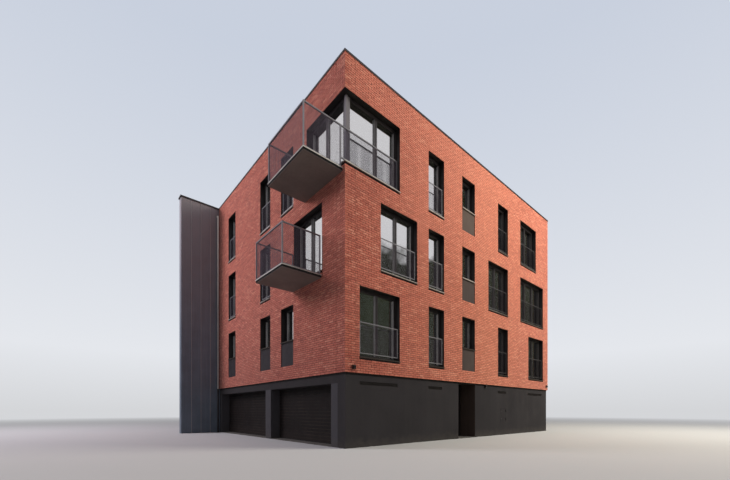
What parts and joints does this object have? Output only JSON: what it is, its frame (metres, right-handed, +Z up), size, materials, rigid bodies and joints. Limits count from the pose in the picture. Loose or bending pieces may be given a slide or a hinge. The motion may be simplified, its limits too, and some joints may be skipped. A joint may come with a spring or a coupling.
{
  "type": "apartment block",
  "caption": "Flat-roofed apartment block of red clinker brick over a dark garage base, with steel mesh balconies, a corner window and a seam-clad screen wall.",
  "frame": {"origin": "ground level under the middle of the brick block", "axes": "+Z up, -Y out of the entrance front, -X out of the garage side"},
  "size_m": [17.606, 15.68, 12.8],
  "materials": {
    "brick": "red-orange clinker brick, matte, with pale joints",
    "base_render": "dark anthracite mineral render",
    "concrete": "plain reinforced concrete",
    "dark_metal": "anthracite powder coat",
    "cladding": "graphite standing-seam sheet, satin",
    "soffit": "dark brown-grey coated concrete slab",
    "railing": "grey coated steel",
    "glass": "insulating glass",
    "sill_metal": "folded aluminium sheet, satin",
    "panel": "dark grey coated panel, matte",
    "door_metal": "near-black coated steel",
    "cabinet_paint": "coated in the colour of the base",
    "zinc": "pale grey zinc pipe"
  },
  "bodies": {
    "block": {"ground_slab": "concrete", "base_front_left": "base_render", "base_front_right": "base_render", "garage_piers": "base_render", "garage_lintel": "base_render", "base_back": "base_render", "base_right": "base_render", "entrance_niche": "base_render", "floor_1": "concrete", "floor_2": "concrete", "floor_3": "concrete", "roof_slab": "concrete", "front_wall_1": "brick", "front_wall_2": "brick", "front_wall_3": "brick", "left_wall_1": "brick", "left_wall_2": "brick", "left_wall_3": "brick", "back_wall": "brick", "right_wall": "brick", "coping": "dark_metal", "screen_wall": "cladding", "screen_cap": "dark_metal", "reveal_linings": "dark_metal", "upper_balcony": "soffit", "upper_railing": "railing", "upper_mesh": "railing", "lower_balcony": "soffit", "lower_railing": "railing", "lower_mesh": "railing", "front_frames": "dark_metal", "left_frames": "dark_metal", "rear_frames": "dark_metal", "corner_frame": "dark_metal", "front_glass": "glass", "left_glass": "glass", "rear_glass": "glass", "corner_glass": "glass", "window_sills": "sill_metal", "window_guards": "railing", "guard_mesh": "railing", "spandrel_panels": "panel", "entrance_frame": "door_metal", "cabinet_box": "dark_metal", "garage_doors": "door_metal", "downpipe": "zinc", "vent_grilles": "dark_metal", "wall_lamps": "dark_metal"},
    "entrance_leaf": {"entrance_door": "door_metal"},
    "cabinet_leaf": {"cabinet_door": "cabinet_paint"}
  },
  "joints": [
    {"name": "entrance_swing", "type": "hinge", "parent": "block", "child": "entrance_leaf", "pos_m": [-0.2525, -6.828, 1.1], "axis": [0, 0, -1], "range_deg": [0, 95]},
    {"name": "cabinet_swing", "type": "hinge", "parent": "block", "child": "cabinet_leaf", "pos_m": [2.7305, -7.732, 1], "axis": [0, 0, 1], "range_deg": [0, 110]}
  ]
}
